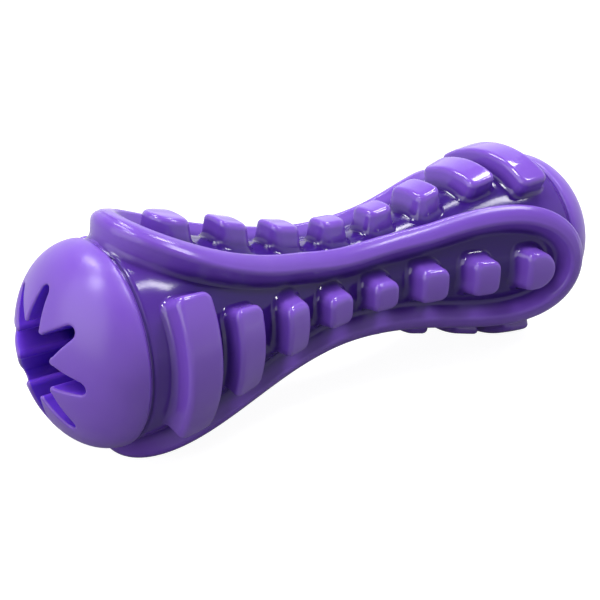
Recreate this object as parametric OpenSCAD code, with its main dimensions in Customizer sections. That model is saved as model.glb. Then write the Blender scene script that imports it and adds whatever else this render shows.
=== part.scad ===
// Rubber chew toy: an hourglass body with a star mouth in each domed end.
// The long axis is X, +Z is up, and the origin is the middle of the toy.
// Four panels of studs lie between the loops of one closed wavy rail.
// Each panel opens towards one end, and its neighbours open towards the other.

/* [Body] */
// Distance between the rims of the two domes
rim_span = 122; // [116:1:150]
// Diameter of the domes at their rims
rim_d = 42; // [39:0.2:46]
// Height of each dome beyond its rim
dome_h = 13.8; // [10:0.2:20]
// Step from the rim down to the neck
neck_step = 0.5; // [0.2:0.1:2]
// Diameter of the body at its waist
waist_d = 20.8; // [18:0.2:27]
// Length of the straight neck behind each rim
neck_len = 5; // [4:0.5:14]

/* [Rim lip] */
// Width of the lip behind each rim
lip_w = 1; // [0.6:0.1:2]
// Width of the groove between the lip and the neck
groove_w = 0.8; // [0.4:0.1:1.5]
// Depth of that groove
groove_depth = 0.7; // [0.3:0.1:1.2]

/* [Star mouths] */
// Number of slots in each star
slots = 8; // [6:1:10]
// Rubber left between the end of a slot and the rim's edge
slot_wall = 6.2; // [4.5:0.1:8]
// Width of a slot at its rounded end
slot_w = 2.7; // [1.6:0.1:3.4]
// Length of a tooth, from the end of a slot to its tip
tooth_len = 7.5; // [5:0.1:8.2]
// Width of a tooth at its rounded tip
tooth_w = 1.8; // [1:0.1:2.4]
// Depth of the star pocket behind the rim
pocket_depth = 19; // [8:0.5:24]
// Turn of the first slot away from the top
star_turn = 5; // [0:1:20]
// Diameter of the channel that joins the two pockets
channel_d = 10; // [6:0.5:12]

/* [Studs and ribs] */
// Distance from a rim to the middle of the wide rib beside it
rib_gap = 10.8; // [10:0.2:13]
// Distance from the end of a u-turn to the middle of the stud inside it
end_stud_gap = 12.4; // [11:0.2:15]
// Height of the studs and ribs above the body
stud_h = 4.5; // [3:0.1:5]
// Length of a middle stud along the toy
stud_len = 7; // [5:0.1:8]
// Slope of the stud walls, as the width lost from foot to top on each side
stud_draft = 0.5; // [0.2:0.1:0.8]
// Bevel along the top edges of studs and ribs
stud_bevel = 0.6; // [0.2:0.1:0.9]
// Extra foot of the wide rib on its dome side
rib_apron = 0.9; // [0.3:0.1:2]

/* [Rail] */
// Distance from a rim to the middle of the rail where it turns
turn_gap = 4.4; // [4.2:0.1:7]
// Length of a u-turn along the toy
turn_len = 36; // [26:0.2:36]
// Width of the rail at its foot
rail_foot_w = 6; // [5.2:0.1:6.4]
// Width of the rail's flat top
rail_top_w = 5; // [3:0.1:5.2]
// Height of the rail above the body at the waist
rail_h = 4.6; // [3.5:0.1:5.5]
// Height of the rail above the body at its u-turns
rail_turn_h = 5.2; // [4:0.1:6]

/* [Hidden] */
$fn = 96;
violet = [0.49, 0.34, 0.78];
light_violet = [0.58, 0.43, 0.86];
deep_violet = [0.40, 0.26, 0.70];

rim_x = rim_span / 2;
rim_r = rim_d / 2;
neck_r = rim_r - neck_step;
waist_r = waist_d / 2;
flare_x = rim_x - neck_len;
body_end = rim_x - lip_w;
pocket_end = rim_x - pocket_depth;
slot_reach = rim_r - slot_wall;
tooth_reach = slot_reach - tooth_len;
slot_r = slot_w / 2;
tooth_r = tooth_w / 2;
// Every cut runs on past the solid by this much
overrun = 1;
// Room left between the rail's flat facets and the round body
rail_seat = 0.05;

profile_steps = 40;
dome_steps = 20;
tip_steps = 6;
lip_steps = 4;
band_steps = 4;

rib_place = rim_x - rib_gap;
turn_place = rim_x - turn_gap;
row_len = rib_place + turn_place - end_stud_gap;
// Places along a panel, as shares of row_len from the wide rib to the end stud
place_shares = [0, 0.131, 0.278, 0.42, 0.5635, 0.708, 0.852, 1];
// Lengths along the toy, as shares of stud_len
length_shares = [1.19, 1.1, 0.98, 1.03, 1.01, 1.03, 0.98, 0.9];
// Half angles that the tops span round the axis, in degrees
half_angles = [38, 25.6, 17.9, 13.5, 13.2, 14.2, 12.6, 11.9];

// Angle from a panel's middle line to its rail where the u-turn begins, in degrees
turn_half_angle = 43.9;
// Power that fills out the u-turns, where 1 would make them half ellipses
turn_fullness = 0.93;
// Turn round the axis from one panel to the next, in degrees
panel_turn = 90;
// The quick and the slow wave of the rail between its u-turns, in degrees
quick_wave = 0.9;
slow_wave = panel_turn / 2 - turn_half_angle - quick_wave;
turn_steps = 11;
middle_steps = 12;
// Rings stand half a step off each u-turn's end, where the rail gets a flat to stand on
half_step = 1 / 2;
quarter_steps = 2 * turn_steps + middle_steps;

// Radius of the plain body at a distance x from its middle
function flare(u) = 2 * u * u - pow(u, 4);
function body_r(x) = waist_r + (neck_r - waist_r) * flare(min(1, abs(x) / flare_x));

// Turns the revolved outline's Z axis onto X
module along_x() {
    rotate([0, 90, 0]) children();
}

// Rounded star outline: slot ends outside, tooth tips inside
function star_points() = [
    for (k = [0:slots - 1])
    let (a = k * 360 / slots + star_turn, b = a + 180 / slots)
    each concat(
        [for (i = [0:tip_steps]) let (t = a - 90 + i * 180 / tip_steps)
            (slot_reach - slot_r) * [cos(a), sin(a)] + slot_r * [cos(t), sin(t)]],
        [for (i = [0:tip_steps]) let (t = b - 90 - i * 180 / tip_steps)
            (tooth_reach + tooth_r) * [cos(b), sin(b)] + tooth_r * [cos(t), sin(t)]]
    )
];

// Star pocket of the end towards +X, cut from the pocket's floor out past the dome
module star_pocket() {
    translate([pocket_end, 0, 0])
        along_x()
        rotate([0, 0, 180])
        linear_extrude(pocket_depth + dome_h + overrun)
        polygon(star_points());
}

// Puts a child of the +X end at the -X end, a quarter turn round
module other_end() {
    mirror([1, 0, 0]) rotate([-90, 0, 0]) children();
}

// The body's outline, with a groove before each end
module barrel_outline() {
    neck_end = body_end - groove_w;
    groove_start = neck_end + groove_w / 4;
    groove_r = neck_r - groove_depth;
    polygon(concat(
        [[0, -body_end], [groove_r, -body_end], [groove_r, -groove_start]],
        [for (i = [0:profile_steps])
            let (x = neck_end * (2 * i / profile_steps - 1))
            [body_r(x), x]],
        [[groove_r, groove_start], [groove_r, body_end], [0, body_end]]
    ));
}

module barrel_solid() {
    along_x() rotate_extrude() barrel_outline();
}

module barrel() {
    color(deep_violet)
    difference() {
        barrel_solid();
        star_pocket();
        other_end() star_pocket();
        translate([-rim_x, 0, 0]) along_x() cylinder(h = rim_span, d = channel_d);
    }
}

module dome_outline() {
    lip_r = neck_r - groove_depth;
    polygon(concat(
        [[0, body_end], [lip_r, body_end]],
        [for (i = [1:lip_steps]) let (t = i * 90 / lip_steps)
            [lip_r + (rim_r - lip_r) * sin(t), rim_x - lip_w * cos(t)]],
        [for (i = [1:dome_steps]) let (t = i * 90 / dome_steps)
            [rim_r * cos(t), rim_x + dome_h * sin(t)]]
    ));
}

module mouth() {
    difference() {
        along_x() rotate_extrude() dome_outline();
        star_pocket();
    }
}

module right_mouth() {
    color(violet) mouth();
}

module left_mouth() {
    color(violet) other_end() mouth();
}

// Shell of the body from its surface to the stud tops, between two places along the toy
module stud_band(start, end, apron = 0) {
    foot_start = start - stud_draft - apron;
    foot_end = end + stud_draft;
    along_x() rotate_extrude() polygon(concat(
        [for (i = [0:band_steps]) let (x = foot_start + (foot_end - foot_start) * i / band_steps)
            [body_r(x) - overrun, x]],
        [[body_r(foot_end), foot_end],
         [body_r(end) + stud_h - stud_bevel, end]],
        [for (i = [0:band_steps])
            let (x = end - stud_bevel + (start - end + 2 * stud_bevel) * i / band_steps)
            [body_r(x) + stud_h, x]],
        [[body_r(start) + stud_h - stud_bevel, start],
         [body_r(foot_start), foot_start]]
    ));
}

// Half of a stud's outline across the toy, as [distance to the side, radius], sloping out to its foot
function half_stud(half_w, top_r) = [
    [0, top_r - 2 * stud_h],
    [half_w + 2 * stud_draft, top_r - 2 * stud_h],
    [half_w, top_r - stud_bevel],
    [half_w - stud_bevel, top_r],
    [half_w - stud_bevel, top_r + stud_h],
    [0, top_r + stud_h]
];

// Half of a rib's outline across the toy, with an end that slopes out to its foot
function half_rib(half_angle, top_r) =
    let (over = top_r + stud_h, under = top_r - 2 * stud_h,
        out = [sin(half_angle), cos(half_angle)], side = [cos(half_angle), -sin(half_angle)],
        high = over * out - stud_draft * side, low = under * out + 2 * stud_draft * side)
    [[0, 0], low, high, [high[0], 2 * top_r], [0, 2 * top_r]];

// Both halves of an outline, run along the toy
module prism(half, start, end) {
    last = len(half) - 1;
    translate([start, 0, 0])
        rotate([90, 0, 90])
        linear_extrude(end - start)
        polygon(concat(half, [for (i = [1:last - 1]) let (p = half[last - i]) [-p[0], p[1]]]));
}

function stud_x(i) = row_len * place_shares[i] - rib_place;
function stud_half_len(i) = stud_len * length_shares[i] / 2;

function stud_top_r(i) = body_r(stud_x(i)) + stud_h;
function stud_half_w(i) = stud_top_r(i) * sin(half_angles[i]);

module block_stud(i) {
    start = stud_x(i) - stud_half_len(i);
    end = stud_x(i) + stud_half_len(i);
    difference() {
        intersection() {
            stud_band(start, end);
            prism(half_stud(stud_half_w(i), stud_top_r(i)), start - stud_len, end + stud_len);
        }
        barrel_solid();
    }
}

// The last stud of a panel, with a half-round end towards its u-turn
module round_stud(i) {
    x = stud_x(i);
    half = half_stud(stud_half_w(i), stud_top_r(i));
    start = x - stud_half_len(i);
    difference() {
        intersection() {
            stud_band(start, x + stud_len);
            union() {
                prism(half, start - stud_len, x);
                translate([x, 0, 0]) rotate_extrude() polygon(half);
            }
        }
        barrel_solid();
    }
}

module rib(i, apron) {
    start = stud_x(i) - stud_half_len(i);
    end = stud_x(i) + stud_half_len(i);
    difference() {
        intersection() {
            stud_band(start, end, apron);
            prism(half_rib(half_angles[i], stud_top_r(i)), start - stud_len, end + stud_len);
        }
        barrel_solid();
    }
}

module middle_studs() {
    for (i = [2:6]) block_stud(i);
}

module outer_rib() {
    rib(0, rib_apron);
}

module inner_rib() {
    rib(1, 0);
}

module end_stud() {
    round_stud(7);
}

// The front and back panels open towards -X, the top and bottom panels towards +X
module on_front() {
    rotate([90, 0, 0]) children();
}

module on_back() {
    rotate([-90, 0, 0]) children();
}

module on_top() {
    mirror([1, 0, 0]) children();
}

module on_bottom() {
    rotate([180, 0, 0]) mirror([1, 0, 0]) children();
}

module front_studs() {
    color(violet) on_front() middle_studs();
}

module back_studs() {
    color(violet) on_back() middle_studs();
}

module top_studs() {
    color(violet) on_top() middle_studs();
}

module bottom_studs() {
    color(violet) on_bottom() middle_studs();
}

module front_end_stud() {
    color(violet) on_front() end_stud();
}

module back_end_stud() {
    color(violet) on_back() end_stud();
}

module top_end_stud() {
    color(violet) on_top() end_stud();
}

module bottom_end_stud() {
    color(violet) on_bottom() end_stud();
}

module front_inner_rib() {
    color(violet) on_front() inner_rib();
}

module back_inner_rib() {
    color(violet) on_back() inner_rib();
}

module top_inner_rib() {
    color(violet) on_top() inner_rib();
}

module bottom_inner_rib() {
    color(violet) on_bottom() inner_rib();
}

module front_outer_rib() {
    color(violet) on_front() outer_rib();
}

module back_outer_rib() {
    color(violet) on_back() outer_rib();
}

module top_outer_rib() {
    color(violet) on_top() outer_rib();
}

module bottom_outer_rib() {
    color(violet) on_bottom() outer_rib();
}

// One quarter of the rail's middle line, from the top panel's u-turn to the front panel's,
// as [place along the toy, angle from the top towards the front]
turn_start = turn_place - turn_len;
function filled(share) = pow(share, turn_fullness);
function quarter_point(j) =
    j < turn_steps
    ? let (t = 90 * (1 - (j + half_step) / turn_steps))
        [-turn_start - turn_len * filled(sin(t)), turn_half_angle * filled(cos(t))]
    : j >= turn_steps + middle_steps
    ? let (t = 90 * (j + half_step - turn_steps - middle_steps) / turn_steps)
        [turn_start + turn_len * filled(sin(t)), panel_turn - turn_half_angle * filled(cos(t))]
    : let (u = 2 * (j + half_step - turn_steps) / middle_steps - 1)
        [turn_start * u, panel_turn / 2 + slow_wave * sin(90 * u) - quick_wave * sin(270 * u)];

// The whole closed line: each quarter is the last one mirrored
function rail_point(i) =
    let (q = floor(i / quarter_steps), j = i - q * quarter_steps, back = q % 2 != 0,
        p = quarter_point(back ? quarter_steps - 1 - j : j))
    [p[0], back ? (q + 1) * panel_turn - p[1] : q * panel_turn + p[1]];

// The rail's section, as [distance to the side, height above the body]
rail_foot = rail_foot_w / 2;
rail_top = rail_top_w / 2;
rail_shoulder = (rail_foot + 2 * rail_top) / 3;
shoulder_share = 0.7;
edge_share = 0.94;
rail_section = [
    [-rail_foot, rail_seat],
    [-rail_foot / 3, rail_seat],
    [rail_foot / 3, rail_seat],
    [rail_foot, rail_seat],
    [rail_shoulder, rail_h * shoulder_share],
    [rail_top, rail_h * edge_share],
    [rail_top / 2, rail_h],
    [-rail_top / 2, rail_h],
    [-rail_top, rail_h * edge_share],
    [-rail_shoulder, rail_h * shoulder_share]
];
section_size = len(rail_section);
section_count = 4 * quarter_steps;

function rail_ring(i) =
    let (p = rail_point(i), before = rail_point(i - 1), after = rail_point(i + 1),
        r = body_r(p[0]),
        along = after[0] - before[0],
        round = r * (after[1] - before[1]) * PI / 180,
        size = norm([along, round]),
        rise = 1 + (rail_turn_h / rail_h - 1) * pow(p[0] / turn_place, 2))
    [for (s = rail_section)
        let (x = p[0] - s[0] * round / size,
            angle = p[1] + s[0] * along / size / (r + s[1] * rise) * 180 / PI,
            out = body_r(x) + s[1] * rise)
        [x, -out * sin(angle), out * cos(angle)]];

module seam_rail() {
    points = [for (i = [0:section_count - 1]) each rail_ring(i)];
    faces = [for (i = [0:section_count - 1]) for (j = [0:section_size - 1])
        let (i2 = (i + 1) % section_count, j2 = (j + 1) % section_size,
            a = i * section_size + j, b = i * section_size + j2,
            c = i2 * section_size + j2, d = i2 * section_size + j)
        each [[a, c, b], [a, d, c]]];
    color(light_violet) polyhedron(points, faces);
}

barrel();
left_mouth();
right_mouth();
seam_rail();
front_studs();
top_studs();
back_studs();
bottom_studs();
front_end_stud();
top_end_stud();
back_end_stud();
bottom_end_stud();
front_inner_rib();
top_inner_rib();
back_inner_rib();
bottom_inner_rib();
front_outer_rib();
top_outer_rib();
back_outer_rib();
bottom_outer_rib();
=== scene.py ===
import math
import bpy
import bmesh
from mathutils import Matrix, Vector


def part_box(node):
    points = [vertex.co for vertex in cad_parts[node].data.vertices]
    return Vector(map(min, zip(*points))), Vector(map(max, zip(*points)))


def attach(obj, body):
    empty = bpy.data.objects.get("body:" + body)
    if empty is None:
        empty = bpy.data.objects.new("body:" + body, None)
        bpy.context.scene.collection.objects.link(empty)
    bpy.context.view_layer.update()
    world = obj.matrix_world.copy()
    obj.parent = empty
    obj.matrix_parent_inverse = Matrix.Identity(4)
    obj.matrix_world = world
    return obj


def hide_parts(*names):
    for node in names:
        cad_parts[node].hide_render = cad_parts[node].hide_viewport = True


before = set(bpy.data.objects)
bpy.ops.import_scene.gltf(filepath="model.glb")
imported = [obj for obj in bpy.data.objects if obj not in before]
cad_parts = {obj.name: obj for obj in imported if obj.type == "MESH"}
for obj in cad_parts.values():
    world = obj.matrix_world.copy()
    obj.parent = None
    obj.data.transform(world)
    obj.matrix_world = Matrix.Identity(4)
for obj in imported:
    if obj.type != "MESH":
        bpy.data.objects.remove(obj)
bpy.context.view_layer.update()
mm = 0.001
weldGap = 1e-7                # vertices nearer than this, in metres, become one

# The toy's long axis is X. An angle round it starts at the top and turns towards the front, -Y.
body = dict(
    waistR=10.4,      # radius at the waist
    neckStep=0.5,     # step from a rim down to the neck
    neckLen=5.0,      # straight neck behind each rim
    domeH=13.8,       # height of a dome beyond its rim
    lipW=1.0,         # lip behind the rim
    grooveW=0.8,      # groove between lip and neck
    grooveDepth=0.4,
    shoulderLen=0.35, # of the groove's rounded shoulder, along the toy
    shoulderAngles=(0, 30, 60, 90),
    domeRows=26,
    lipRows=6,
    barrelRows=150,
    buried=0.7,       # how deep the feet of rail, studs and ribs reach into the body
    sunk=0.06,        # how far the rim of their blends lies below its surface
)


def boxSpan(node, axis):
    lo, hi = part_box(node)
    return (hi[axis] - lo[axis]) / mm


bodyEnd = boxSpan("barrel", 0) / 2
rimX = bodyEnd + body["lipW"]
rimR = boxSpan("left_mouth", 1) / 2
neckR = rimR - body["neckStep"]
flareX = rimX - body["neckLen"]


def bodyRadius(x):
    u = min(1.0, abs(x) / flareX)
    return body["waistR"] + (neckR - body["waistR"]) * (2 * u * u - u ** 4)


def turned(x, radius, angle):
    a = math.radians(angle)
    return Vector((x, -radius * math.sin(a), radius * math.cos(a))) * mm


# Meshes

# The height above the body, kept in millimetres on each vertex for the material, tells where it paints shade
# low down and wear with a painted sheen high up
shadeAndWearHeight = dict(
    domes=9.0,        # height that all of a dome counts as
    neckFrom=46.0,    # along X, where the necks begin to count as higher, which thins the painted shade there
    neckOver=8.0,
)


def riseOf(p):
    x = abs(p.x) / mm
    if x > bodyEnd:
        return shadeAndWearHeight["domes"]
    neck = min(1.0, max(0.0, (x - shadeAndWearHeight["neckFrom"]) / shadeAndWearHeight["neckOver"]))
    return math.hypot(p.y, p.z) / mm - bodyRadius(x) + neck


def newPiece(name, verts, faces):
    mesh = bpy.data.meshes.new(name)
    mesh.from_pydata([tuple(v) for v in verts], [], faces)
    tidy = bmesh.new()
    tidy.from_mesh(mesh)
    bmesh.ops.remove_doubles(tidy, verts=tidy.verts, dist=weldGap)
    bmesh.ops.recalc_face_normals(tidy, faces=tidy.faces)
    tidy.to_mesh(mesh)
    tidy.free()
    mesh.shade_smooth()
    rise = mesh.attributes.new("rise", "FLOAT", "POINT")
    rise.data.foreach_set("value", [riseOf(v.co) for v in mesh.vertices])
    piece = bpy.data.objects.new(name, mesh)
    bpy.context.scene.collection.objects.link(piece)
    return piece


def stitch(faces, ringA, ringB):
    n = len(ringA)
    for i in range(n):
        j = (i + 1) % n
        faces.append((ringA[i], ringA[j], ringB[j], ringB[i]))


def addRing(verts, points):
    start = len(verts)
    verts.extend(points)
    return list(range(start, start + len(points)))


def closeRing(verts, faces, ring):
    centre = sum((verts[i] for i in ring), Vector()) / len(ring)
    verts.append(centre)
    tip = len(verts) - 1
    for i in range(len(ring)):
        faces.append((ring[i], ring[(i + 1) % len(ring)], tip))


# Star mouth

star = dict(
    slots=8,
    slotReach=14.8,   # axis to the end of a slot
    slotW=2.7,        # width at the slot's rounded end
    toothReach=7.3,   # axis to the tip of a tooth
    toothW=1.8,       # width at the tooth's rounded tip
    turn=5.0,         # first slot away from the top
    edge=0.65,        # rounding of the mouth's edge
    floorX=42.0,      # where the pocket ends
    channelR=5.0,
    arcSteps=8,
    sideSteps=7,
    edgeSteps=6,
    mouthRows=(4.0, 8.0),      # beyond the body's end
    pocketRows=(6, 12),        # within it
    channelRows=8,
)


# The mouth's outline as (across, up, normal across, normal up), the normal pointing into the rubber
def starOutline():
    chains = []
    slotR, toothR = star["slotW"] / 2, star["toothW"] / 2
    for k in range(star["slots"]):
        a = math.radians(k * 360 / star["slots"] + star["turn"])
        b = a + math.pi / star["slots"]
        slot = (a, star["slotReach"] - slotR, slotR, 1)
        tooth = (b, star["toothReach"] + toothR, toothR, -1)
        for mid, reach, r, sign in (slot, tooth):
            arc = []
            for i in range(star["arcSteps"] + 1):
                t = mid - math.pi / 2 + sign * math.pi * i / star["arcSteps"]
                nx, ny = math.cos(t), math.sin(t)
                across, up = reach * math.cos(mid) + r * nx, reach * math.sin(mid) + r * ny
                arc.append((across, up, sign * nx, sign * ny))
            chains.append(arc)
    outline = []
    for k, chain in enumerate(chains):
        outline += chain
        p, q = chain[-1], chains[(k + 1) % len(chains)][0]
        for i in range(1, star["sideSteps"]):
            t = i / star["sideSteps"]
            outline.append(tuple(p[c] + (q[c] - p[c]) * t for c in range(4)))
    return outline


starPoints = starOutline()


# x is a place along the toy, or a function that gives it for a distance from the axis
def starRing(x, grow=0.0):
    ring = []
    for u, v, nu, nv in starPoints:
        size = math.hypot(nu, nv)
        across, up = u + nu / size * grow, v + nv / size * grow
        a, r = math.atan2(up, across), math.hypot(up, across)
        ring.append(turned(x(r) if callable(x) else x, r, math.degrees(a)))
    return ring


def domeX(r):
    return rimX + body["domeH"] * math.sqrt(max(0.0, 1 - (r / rimR) ** 2))


def roundRing(x, r):
    ring = []
    for u, v, _, _ in starPoints:
        ring.append(turned(x, r, math.degrees(math.atan2(v, u))))
    return ring


def makeMouth(name, side):
    verts, faces = [], []
    edge, steps = star["edge"], star["edgeSteps"]
    rings = [starRing(bodyEnd)]
    for x in star["mouthRows"]:
        rings.append(starRing(bodyEnd + x))
    for i in range(steps + 1):    # rounded edge from the wall to the dome
        t = math.radians(90 * i / steps)
        grow = edge * (1 - math.cos(t))
        drop = edge * (1 - math.sin(t))
        rings.append(starRing(lambda r, d=drop: domeX(r) - d, grow))
    outline = [(math.hypot(p.y, p.z) / mm, math.atan2(-p.y, p.z)) for p in rings[-1]]
    for i in range(1, body["domeRows"] + 1):
        t = math.sin(math.radians(90 * i / body["domeRows"]))
        ring = []
        for r0, a in outline:
            r = r0 + (rimR - r0) * t
            ring.append(turned(domeX(r), r, math.degrees(a)))
        rings.append(ring)
    lipR = neckR - body["grooveDepth"]
    for i in range(1, body["lipRows"] + 1):    # lip behind the rim
        t = math.radians(90 * i / body["lipRows"])
        rings.append(roundRing(rimX - body["lipW"] * math.sin(t), lipR + (rimR - lipR) * math.cos(t)))
    loops = [addRing(verts, ring) for ring in rings]
    for a, b in zip(loops, loops[1:]):
        stitch(faces, a, b)
    stitch(faces, loops[-1], loops[0])
    if side < 0:
        verts = [Vector((-v.x, v.y, v.z)) for v in verts]
    return newPiece(name, verts, faces)


def makeBarrel():
    verts, faces = [], []
    neckEnd = bodyEnd - body["grooveW"]
    grooveR = neckR - body["grooveDepth"]
    deep = bodyRadius(neckEnd) - grooveR
    floorX, channelR, rows = star["floorX"], star["channelR"], body["barrelRows"]

    def shoulder(t, side):    # the groove's rounded shoulder
        a = math.radians(t)
        x = neckEnd + body["shoulderLen"] * (1 - math.sin(a))
        return roundRing(side * x, grooveR + deep * (1 - math.cos(a)))

    rings = [starRing(bodyEnd), roundRing(bodyEnd, grooveR)]
    rings += [shoulder(t, 1) for t in body["shoulderAngles"]]
    for i in range(rows + 1):
        x = neckEnd * (1 - 2 * i / rows)
        rings.append(roundRing(x, bodyRadius(x)))
    rings += [shoulder(t, -1) for t in reversed(body["shoulderAngles"])]
    rings += [roundRing(-bodyEnd, grooveR), starRing(-bodyEnd)]
    rings += [starRing(-bodyEnd + x) for x in star["pocketRows"]]
    rings.append(starRing(-floorX))
    for i in range(star["channelRows"] + 1):
        rings.append(roundRing(floorX * (2 * i / star["channelRows"] - 1), channelR))
    rings.append(starRing(floorX))
    rings += [starRing(bodyEnd - x) for x in reversed(star["pocketRows"])]
    loops = [addRing(verts, ring) for ring in rings]
    for a, b in zip(loops, loops[1:] + loops[:1]):
        stitch(faces, a, b)
    return newPiece("barrel_skin", verts, faces)


print("mouths and body")
leftMouth = makeMouth("left_dome", -1)
rightMouth = makeMouth("right_dome", 1)
barrelSkin = makeBarrel()

# Wavy rail

rail = dict(
    turnGap=4.4,      # rim to the middle of the rail where it turns
    turnLen=36.0,     # length of a u-turn along the toy
    turnAngle=43.9,   # panel's middle line to the rail where the u-turn begins
    fullness=0.93,    # 1 would make the u-turns half ellipses
    quickWave=0.9,    # size of the quicker of the two waves between the u-turns
    topW=5.0,         # width between the rounded shoulders' outer sides
    footW=5.6,        # the same at the foot
    height=4.6,       # above the body, at the waist
    turnHeight=5.14,  # at the u-turns
    shoulder=1.05,    # radius of the shoulders
    turnShoulder=1.1, # added to that radius on the dome side of a u-turn
    crown=0.18,       # rise of the top's middle above the shoulders
    crownPoints=((0.4, 0.15), (0.75, 0.5)),    # share of the way out, share of the crown lost there
    fillet=1.0,       # blend into the body
    turnFillet=0.8,   # added to the blend on the dome side of a u-turn
    turnSteps=44,
    middleSteps=50,
    shoulderSteps=8,
    shoulderStep=12,  # in degrees
    filletSteps=8,
    filletStep=10,
)
turnX = rimX - rail["turnGap"]
turnStart = turnX - rail["turnLen"]
slowWave = 45 - rail["turnAngle"] - rail["quickWave"]


def filled(share):
    return max(0.0, share) ** rail["fullness"]


def uTurn(t):                 # from 90 at the turn's end to 0 where it begins
    t = math.radians(t)
    return turnStart + rail["turnLen"] * filled(math.sin(t)), rail["turnAngle"] * filled(math.cos(t))


def railQuarter(j):
    turn, middle = rail["turnSteps"], rail["middleSteps"]
    if j < turn:
        x, a = uTurn(90 * (1 - j / turn))
        return -x, a
    if j > turn + middle:
        x, a = uTurn(90 * (j - turn - middle) / turn)
        return x, 90 - a
    u = 2 * (j - turn) / middle - 1
    wave = slowWave * math.sin(math.radians(90 * u)) - rail["quickWave"] * math.sin(math.radians(270 * u))
    return turnStart * u, 45 + wave


quarterSteps = 2 * rail["turnSteps"] + rail["middleSteps"]


def railPoint(i):
    q, j = divmod(i, quarterSteps)
    if q % 2 == 0:
        x, a = railQuarter(j)
        return x, q * 90 + a
    x, a = railQuarter(quarterSteps - j)
    return x, (q + 1) * 90 - a


def railSide(h, shoulder, fillet):    # half of the section, as (distance to the side, height)
    w, crown = rail["topW"] / 2, rail["crown"]
    flat = w - shoulder
    half = [(flat * out, h - crown * lost) for out, lost in rail["crownPoints"]]
    for i in range(rail["shoulderSteps"]):
        t = math.radians(90 - rail["shoulderStep"] * i)
        half.append((flat + shoulder * math.cos(t), h - crown - shoulder + shoulder * math.sin(t)))
    foot, steps = rail["footW"] / 2 + fillet, rail["filletSteps"]
    for i in range(steps + 1):
        t = math.radians(270 - rail["filletStep"] * (steps - i))
        half.append((foot + fillet * math.cos(t), fillet + fillet * math.sin(t) - body["sunk"] * i / steps))
    half.append((foot, -body["buried"]))
    return half


def makeRail():
    verts, faces = [], []
    loops = []
    for i in range(4 * quarterSteps):
        (x, a), before, after = railPoint(i), railPoint(i - 1), railPoint(i + 1)
        r = bodyRadius(x)
        along, across = after[0] - before[0], r * math.radians(after[1] - before[1])
        size = math.hypot(along, across)
        h = rail["height"] + (rail["turnHeight"] - rail["height"]) * (x / turnX) ** 2
        section = [(0.0, h)]
        for side in (1, -1):
            outward = max(0.0, -side * across / size * (1 if x > 0 else -1))
            shoulder = rail["shoulder"] + rail["turnShoulder"] * outward ** 2
            half = railSide(h, shoulder, rail["fillet"] + rail["turnFillet"] * outward ** 2)
            section += half if side == 1 else [(-d, up) for d, up in reversed(half)]
        ring = []
        for d, up in section:
            xs = x - d * across / size
            angle = a + math.degrees(d * along / size / (r + max(up, 0)))
            ring.append(turned(xs, bodyRadius(xs) + up, angle))
        loops.append(addRing(verts, ring))
    for a, b in zip(loops, loops[1:] + loops[:1]):
        stitch(faces, a, b)
    return newPiece("wavy_rail", verts, faces)


print("rail")
wavyRail = makeRail()

# Studs and ribs

studs = dict(
    ribGap=10.8,      # rim to the middle of the wide rib
    endGap=12.4,      # end of the u-turn to the middle of the stud inside it
    length=7.0,       # a middle stud, along the toy
    height=4.5,       # of a rib above the body
    draft=0.35,       # what a wall's foot stands out beyond its top
    edge=1.35,        # rounding of the top edges
    fillet=1.5,       # blend into the body
    corner=2.1,       # rounding of the corners, seen from above
    rise=0.5,         # what the studs stand above the ribs
    apron=0.6,        # extra foot at the two ends of the wide rib's dome side
    apronSpread=4,    # powers with which that grows towards the ends, and fades with the height
    apronFade=1.5,
    ribs=2,           # so many at the start of each row are arched ribs
    placeShares=(0, 0.131, 0.278, 0.42, 0.5635, 0.708, 0.852, 1),      # along the row, wide rib first
    lengthShares=(1.19, 1.1, 0.98, 1.03, 1.01, 1.03, 0.98, 0.9),       # of a stud's length
    halfAngles=(38, 25.6, 17.9, 13.5, 13.2, 14.2, 12.6, 11.9),         # round the axis
    cornerSteps=8,
    spacing=0.8,      # of the points on straight sides
    filletSteps=8,
    filletStep=11,    # in degrees
    edgeSteps=7,
    topRows=7,
)
ribPlace = rimX - studs["ribGap"]
rowLen = ribPlace + turnX - studs["endGap"]

# Each panel is (name, turn from the top towards the front, way its row runs along X)
panels = (("front", 90, 1), ("back", 270, 1), ("top", 0, -1), ("bottom", 180, -1))


# Outline seen from above, as (along, across, normal along, normal across)
def blockOutline(a0, a1, b, roundEnd):
    r, steps = studs["corner"], studs["cornerSteps"]
    left = ((a0 + r, -b + r, 180, r), (a0 + r, b - r, 90, r))
    if roundEnd:
        right = ((a1, 0, 270, b), (a1, 0, 0, b))
    else:
        right = ((a1 - r, -b + r, 270, r), (a1 - r, b - r, 0, r))
    outline = []
    for cx, cy, start, size in (left[0], right[0], right[1], left[1]):
        for i in range(steps + 1):
            t = math.radians(start + 90 * i / steps)
            outline.append((cx + size * math.cos(t), cy + size * math.sin(t), math.cos(t), math.sin(t)))
    dense = []
    for p, q in zip(outline, outline[1:] + outline[:1]):
        dense.append(p)
        extra = int(math.hypot(q[0] - p[0], q[1] - p[1]) / studs["spacing"])
        for i in range(1, extra + 1):
            t = i / (extra + 1)
            dense.append(tuple(p[c] + (q[c] - p[c]) * t for c in range(4)))
    return dense


# Rings from the buried foot to the top, as (growth of the outline, height)
def blockRings(height):
    draft, edge, fillet = (studs[k] for k in ("draft", "edge", "fillet"))
    low, high = studs["filletSteps"], studs["edgeSteps"]
    rings = [(draft + fillet, -body["buried"])]
    for i in range(low):
        t = math.radians(90 - studs["filletStep"] * i)
        sunk = body["sunk"] * (1 - i / (low - 1))
        rings.append((draft + fillet * (1 - math.cos(t)), fillet * (1 - math.sin(t)) - sunk))
    for i in range(high + 1):
        t = math.radians(90 * i / high)
        rings.append((edge * (math.cos(t) - 1), height - edge * (1 - math.sin(t))))
    return rings


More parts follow.
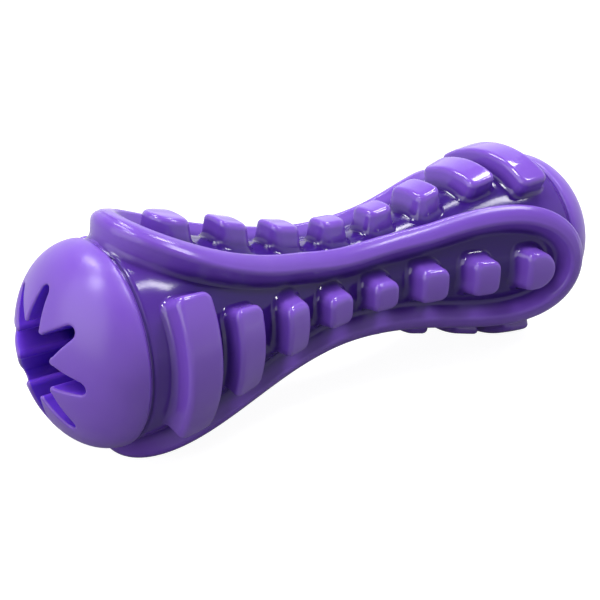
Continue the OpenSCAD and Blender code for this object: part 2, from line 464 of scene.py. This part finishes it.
def addBlock(verts, faces, outline, centreX, turn, way, arched, apron):
    height = studs["height"] + (0.0 if arched else studs["rise"])
    topR = bodyRadius(centreX) + height
    halfAcross = max(p[1] for p in outline)

    def place(x, s, h):
        r = bodyRadius(x) + h
        angle = s / topR if arched else math.asin(s / r)
        return turned(way * x, r, turn + way * math.degrees(angle))

    loops = []
    rings = blockRings(height)
    for grow, h in rings:
        low = max(0.0, 1 - max(h, 0) / height)
        ring = []
        for u, v, nu, nv in outline:
            spread = (v / halfAcross) ** studs["apronSpread"]
            foot = apron * max(0.0, -nu) * spread * low ** studs["apronFade"]
            ring.append(place(u + nu * grow - foot, v + nv * grow, h))
        loops.append(addRing(verts, ring))
    # the top is filled by shrinking rows, so that it follows the body's curve
    grow = rings[-1][0]
    inner = [(u + nu * grow, v + nv * grow) for u, v, nu, nv in outline]
    halfU = max(abs(p[0] - centreX) for p in inner)
    spine = max(0.0, max(p[1] for p in inner) - halfU) if arched else 0.0
    rows = studs["topRows"]
    for k in range(1, rows):
        t = k / (rows - 1) if arched else k / rows
        ring = []
        for u, v in inner:
            keep = max(-spine, min(spine, v))
            ring.append(place(u + (centreX - u) * t, v + (keep - v) * t, height))
        loops.append(addRing(verts, ring))
    for a, b in zip(loops, loops[1:]):
        stitch(faces, a, b)
    if not arched:
        closeRing(verts, faces, loops[-1])
    closeRing(verts, faces, list(reversed(loops[0])))


def makeStuds(panel, kind, indices):
    name, turn, way = panel
    verts, faces = [], []
    for i in indices:
        x = rowLen * studs["placeShares"][i] - ribPlace
        half = studs["length"] * studs["lengthShares"][i] / 2
        topR = bodyRadius(x) + studs["height"]
        arched = i < studs["ribs"]
        halfAngle = math.radians(studs["halfAngles"][i])
        b = topR * (halfAngle if arched else math.sin(halfAngle))
        roundEnd = i == len(studs["placeShares"]) - 1
        outline = blockOutline(x - half, x if roundEnd else x + half, b, roundEnd)
        addBlock(verts, faces, outline, x, turn, way, arched, studs["apron"] if i == 0 else 0.0)
    return newPiece(name + kind, verts, faces)


print("studs and ribs")
studPieces = []
for panel in panels:
    for kind, node, indices in (("_blocks", "_studs", range(2, 7)), ("_round_block", "_end_stud", (7,)),
                                ("_small_rib", "_inner_rib", (1,)), ("_wide_rib", "_outer_rib", (0,))):
        piece = makeStuds(panel, kind, indices)
        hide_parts(panel[0] + node)
        studPieces.append(piece)

# Rubber

rubber = dict(
    colour=(0.165, 0.070, 0.46, 1),
    deep=(0.140, 0.056, 0.41, 1),    # the colour it drifts to in large clouds
    clouds=(60, 3),   # scale and detail of their noise, and so on below
    paintedShade=(0.030, 0.007, 0.150, 1), # painted shade: the dark colour put low between the studs, ribs and rail, where shade falls
    paintedShadeFrom=-0.2,  # heights above the body between which the painted shade ends
    paintedShadeTop=2.9,
    pocket=(0.130, 0.030, 0.62, 1),  # inside the star mouths: a painted shade tint, the saturated blue the rubber shows deep in them
    wearAndSheen=(0.235, 0.115, 0.60, 1),    # where teeth and floors rub it, and a painted sheen on the raised tops and edges
    wearAndSheenOver=1.2,     # height over which the wear and painted sheen set in above paintedShadeTop
    wearAndSheenShare=0.25,
    wearAndSheenPatches=(110, 2),
    smoother=0.03,    # how far the finish strays to either side of its roughness
    rougher=0.05,
    finish=(420, 3),
    unevenness=0.00003,   # slow waves in the surface, in metres
    waves=(150, 1),
    scatter=0.004,    # how far light spreads inside, in metres
    scatterColour=(0.5, 0.25, 1.0),
)


def noise(nodes, links, coords, scaleAndDetail):
    scale, detail = scaleAndDetail
    node = nodes.new("ShaderNodeTexNoise")
    node.inputs["Scale"].default_value = scale
    node.inputs["Detail"].default_value = detail
    links.new(coords.outputs["Object"], node.inputs["Vector"])
    return node.outputs["Fac"]


# a and b are colours or outputs
def mixed(nodes, links, share, a, b):
    node = nodes.new("ShaderNodeMix")
    node.data_type = "RGBA"
    links.new(share, node.inputs["Factor"])
    for key, value in (("A", a), ("B", b)):
        if isinstance(value, tuple):
            node.inputs[key].default_value = value
        else:
            links.new(value, node.inputs[key])
    return node.outputs["Result"]


def smoothStep(nodes, links, value, low, high, top=1.0):
    node = nodes.new("ShaderNodeMapRange")
    node.interpolation_type = "SMOOTHSTEP"
    node.inputs["From Min"].default_value = low
    node.inputs["From Max"].default_value = high
    node.inputs["To Max"].default_value = top
    links.new(value, node.inputs["Value"])
    return node.outputs["Result"]


def combined(nodes, links, operation, a, b):
    node = nodes.new("ShaderNodeMath")
    node.operation = operation
    for key, value in enumerate((a, b)):
        if isinstance(value, float):
            node.inputs[key].default_value = value
        else:
            links.new(value, node.inputs[key])
    return node.outputs["Value"]


def rubberMaterial(name, roughness, glow, colour=None, paintsLowShade=True, gloss=0.45):
    mat = bpy.data.materials.new(name)
    mat.use_nodes = True
    nodes, links = mat.node_tree.nodes, mat.node_tree.links
    shader = nodes["Principled BSDF"]
    coords = nodes.new("ShaderNodeTexCoord")
    rise = nodes.new("ShaderNodeAttribute")
    rise.attribute_name = "rise"
    height = rise.outputs["Fac"]

    cloud = noise(nodes, links, coords, rubber["clouds"])
    base = mixed(nodes, links, cloud, colour or rubber["colour"], colour or rubber["deep"])
    top = rubber["paintedShadeTop"]
    # wear and painted sheen: the raised tops and edges turn lighter, in patches
    reach = smoothStep(nodes, links, height, top, top + rubber["wearAndSheenOver"], rubber["wearAndSheenShare"])
    patches = noise(nodes, links, coords, rubber["wearAndSheenPatches"])
    base = mixed(nodes, links, combined(nodes, links, "MULTIPLY", reach, patches), base, rubber["wearAndSheen"])
    # painted shade: low on the body, between the raised parts, the colour turns to the dark one
    if paintsLowShade:
        outOfPaintedShade = smoothStep(nodes, links, height, rubber["paintedShadeFrom"], top)
        base = mixed(nodes, links, outOfPaintedShade, rubber["paintedShade"], base)
    links.new(base, shader.inputs["Base Color"])

    rough = nodes.new("ShaderNodeMapRange")
    rough.inputs["To Min"].default_value = roughness - rubber["smoother"]
    rough.inputs["To Max"].default_value = roughness + rubber["rougher"]
    links.new(noise(nodes, links, coords, rubber["finish"]), rough.inputs["Value"])
    links.new(rough.outputs["Result"], shader.inputs["Roughness"])

    bump = nodes.new("ShaderNodeBump")
    bump.inputs["Strength"].default_value = 1
    bump.inputs["Distance"].default_value = rubber["unevenness"]
    links.new(noise(nodes, links, coords, rubber["waves"]), bump.inputs["Height"])
    links.new(bump.outputs["Normal"], shader.inputs["Normal"])
    shader.inputs["Specular IOR Level"].default_value = gloss
    shader.inputs["Subsurface Weight"].default_value = glow
    shader.inputs["Subsurface Radius"].default_value = rubber["scatterColour"]
    shader.inputs["Subsurface Scale"].default_value = rubber["scatter"]
    return mat


print("materials")
# Each finish keeps to one side of a roughness of about 0.27, since a range across it came out blotchy
satin = rubberMaterial("satinRubber", roughness=0.21, glow=0.10, colour=rubber["deep"], gloss=0.35)
polished = rubberMaterial("polishedRubber", roughness=0.11, glow=0.10)
skin = rubberMaterial("skinRubber", roughness=0.13, glow=0.15, gloss=0.25)
domes = rubberMaterial("domeRubber", roughness=0.31, glow=0.25, paintsLowShade=False)
pocket = rubberMaterial("pocketRubber", roughness=0.31, glow=0.4, colour=rubber["pocket"], paintsLowShade=False)
pieces = [leftMouth, rightMouth, barrelSkin, wavyRail] + studPieces
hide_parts("left_mouth")
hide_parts("right_mouth")
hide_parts("barrel")
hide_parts("seam_rail")
for piece in pieces:
    finish = {leftMouth: domes, rightMouth: domes, wavyRail: satin, barrelSkin: skin}.get(piece, polished)
    piece.data.materials.append(finish)
    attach(piece, "root")


# Inside the star mouths a bluer copy of the rubber is painted, for the saturated shade deep in them
mouthWall = dict(
    radius=15.5,      # all of the mouth's wall lies within it
    overlap=0.1,      # counted in beyond the pocket's floor
    steepest=0.2,     # part of a face's normal along X, so that the dome and the floor stay out
)
for piece in (leftMouth, rightMouth, barrelSkin):
    piece.data.materials.append(pocket)
    for face in piece.data.polygons:
        centre = face.center
        within = math.hypot(centre.y, centre.z) < mouthWall["radius"] * mm
        beyond = abs(centre.x) > (star["floorX"] - mouthWall["overlap"]) * mm
        if within and beyond and abs(face.normal.x) < mouthWall["steepest"]:
            face.material_index = 1

# Floor, light and camera

studio = dict(
    floorColour=(0.28, 0.28, 0.29, 1),
    floorSeen=0.94,   # what the floor adds of its own where it is looked at
    shade=0.06,       # the same in the toy's shade, where the rubber mirrors it
    shadeNear=0.06,   # distances from the toy's middle between which that shade fades, in metres
    shadeFar=0.40,
    floorHalf=3,      # half its width, in metres
    floorRoughness=0.9,
    worldLight=0.10,  # what the backdrop sheds, as a share of what a look at it shows
    wall=1,           # the backdrop's strength all round
    ceiling=0.15,     # and overhead
    ceilingFrom=0.45, # heights of a look's direction between which it dims
    ceilingTo=0.75,
)
# Each lamp is (name, place, width, length, watts, whether reflections show it)
lamps = (
    ("sky", (0.30, -0.08, 0.62), 0.5, 0.5, 2.8, False),
    ("strip1", (-0.07, 0.27, 0.6), 0.08, 0.2, 1.5, True),
    ("strip2", (-0.26, 0.02, 0.6), 0.08, 0.2, 1.5, True),
    ("strip3", (0.33, 0.12, 0.6), 0.08, 0.2, 1.5, True),
    ("strip4", (0.33, -0.19, 0.6), 0.08, 0.2, 1.5, True),
    ("sideFill", (-0.56, -0.05, 0.32), 0.7, 0.7, 3.5, True),
    ("backBox", (0.45, 0.55, 0.42), 0.6, 0.6, 0.7, True),
    ("frontFill", (-0.12, -0.62, 0.25), 0.3, 0.3, 0.3, False),
)
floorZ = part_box("seam_rail")[0][2]
floorCorners = []
for across, along in ((-1, -1), (1, -1), (1, 1), (-1, 1)):
    floorCorners.append((across * studio["floorHalf"], along * studio["floorHalf"], floorZ))
floorMesh = bpy.data.meshes.new("floor")
floorMesh.from_pydata(floorCorners, [], [(0, 1, 2, 3)])
floor = bpy.data.objects.new("floor", floorMesh)
bpy.context.scene.collection.objects.link(floor)


# White where it is looked at. Where the rubber mirrors it, it is darker near the toy, in the toy's own shade.
def paleFloor():
    mat = bpy.data.materials.new("paleFloor")
    mat.use_nodes = True
    nodes, links = mat.node_tree.nodes, mat.node_tree.links
    shader = nodes["Principled BSDF"]
    shader.inputs["Base Color"].default_value = studio["floorColour"]
    shader.inputs["Roughness"].default_value = studio["floorRoughness"]
    shader.inputs["Specular IOR Level"].default_value = 0
    shader.inputs["Emission Color"].default_value = (1, 1, 1, 1)
    looks = nodes.new("ShaderNodeLightPath").outputs
    coords = nodes.new("ShaderNodeTexCoord")
    away = nodes.new("ShaderNodeVectorMath")
    away.operation = "LENGTH"
    links.new(coords.outputs["Object"], away.inputs[0])
    shade = nodes.new("ShaderNodeMapRange")
    shade.inputs["From Min"].default_value = studio["shadeNear"]
    shade.inputs["From Max"].default_value = studio["shadeFar"]
    shade.inputs["To Min"].default_value = studio["shade"]
    shade.inputs["To Max"].default_value = studio["floorSeen"]
    links.new(away.outputs["Value"], shade.inputs["Value"])
    mirrored = combined(nodes, links, "MAXIMUM", looks["Is Glossy Ray"], looks["Is Transmission Ray"])
    shown = combined(nodes, links, "MULTIPLY", mirrored, shade.outputs["Result"])
    seen = combined(nodes, links, "MULTIPLY", looks["Is Camera Ray"], studio["floorSeen"])
    links.new(combined(nodes, links, "ADD", seen, shown), shader.inputs["Emission Strength"])
    return mat


floorMesh.materials.append(paleFloor())

# The world: a pale wall all round, with a dim ceiling over it
world = bpy.data.worlds.new("studio")
bpy.context.scene.world = world
world.use_nodes = True
worldNodes, worldLinks = world.node_tree.nodes, world.node_tree.links
backdrop = worldNodes["Background"]
skyCoords = worldNodes.new("ShaderNodeTexCoord")
skyHeight = worldNodes.new("ShaderNodeSeparateXYZ")
worldLinks.new(skyCoords.outputs["Generated"], skyHeight.inputs["Vector"])
ceiling = worldNodes.new("ShaderNodeMapRange")
ceiling.inputs["From Min"].default_value = studio["ceilingFrom"]
ceiling.inputs["From Max"].default_value = studio["ceilingTo"]
ceiling.inputs["To Min"].default_value = studio["wall"]
ceiling.inputs["To Max"].default_value = studio["ceiling"]
worldLinks.new(skyHeight.outputs["Z"], ceiling.inputs["Value"])
worldLinks.new(ceiling.outputs["Result"], backdrop.inputs["Color"])

# It is bright where the camera, a reflection or clear stuff looks, and dim in the light that it sheds
looks = worldNodes.new("ShaderNodeLightPath").outputs
either = combined(worldNodes, worldLinks, "MAXIMUM", looks["Is Camera Ray"], looks["Is Glossy Ray"])
looked = combined(worldNodes, worldLinks, "MAXIMUM", either, looks["Is Transmission Ray"])
strength = worldNodes.new("ShaderNodeMapRange")
strength.inputs["To Min"].default_value = studio["worldLight"]
worldLinks.new(looked, strength.inputs["Value"])
worldLinks.new(strength.outputs["Result"], backdrop.inputs["Strength"])


def softbox(name, place, width, length, watts, mirrored):
    light = bpy.data.lights.new(name, "AREA")
    light.shape = "RECTANGLE"
    light.size = width
    light.size_y = length
    light.energy = watts
    lamp = bpy.data.objects.new(name, light)
    bpy.context.scene.collection.objects.link(lamp)
    lamp.location = place
    lamp.rotation_euler = (-Vector(place)).to_track_quat("-Z", "Y").to_euler()
    lamp.visible_glossy = mirrored


print("lamps and camera")
for lamp in lamps:
    softbox(*lamp)

view = dict(
    azimuth=-38.91, elevation=21.82, roll=2.07,
    distance=237.24, targetX=-7.32, targetZ=1.21,
    picture=600,             # width and height in pixels, which the next three are in too
    focal=1051.0,
    centreX=309.49, centreY=280.93,
    sensor=36,
    nearest=0.01,
    lean=0.12,               # turn of the toy round its axis, seen from the camera
)


def makeCamera():
    az, el, roll = (math.radians(view[k]) for k in ("azimuth", "elevation", "roll"))
    back = Vector((math.sin(az) * math.cos(el), -math.cos(az) * math.cos(el), math.sin(el)))
    right = (-back).cross(Vector((0, 0, 1))).normalized()
    up = right.cross(-back)
    right, up = right * math.cos(roll) + up * math.sin(roll), up * math.cos(roll) - right * math.sin(roll)
    place = (Vector((view["targetX"], 0, view["targetZ"])) + back * view["distance"]) * mm
    picture = view["picture"]
    pose = Matrix((right, up, back)).transposed().to_4x4()
    pose.translation = place
    data = bpy.data.cameras.new("camera")
    data.sensor_width = view["sensor"]
    data.lens = view["focal"] / picture * view["sensor"]
    data.shift_x = (picture / 2 - view["centreX"]) / picture
    data.shift_y = (view["centreY"] - picture / 2) / picture
    data.clip_start = view["nearest"]
    camera = bpy.data.objects.new("camera", data)
    camera.matrix_world = Matrix.Rotation(math.radians(-view["lean"]), 4, "X") @ pose
    bpy.context.scene.collection.objects.link(camera)
    bpy.context.scene.camera = camera


makeCamera()
bpy.context.scene.view_settings.view_transform = "Standard"
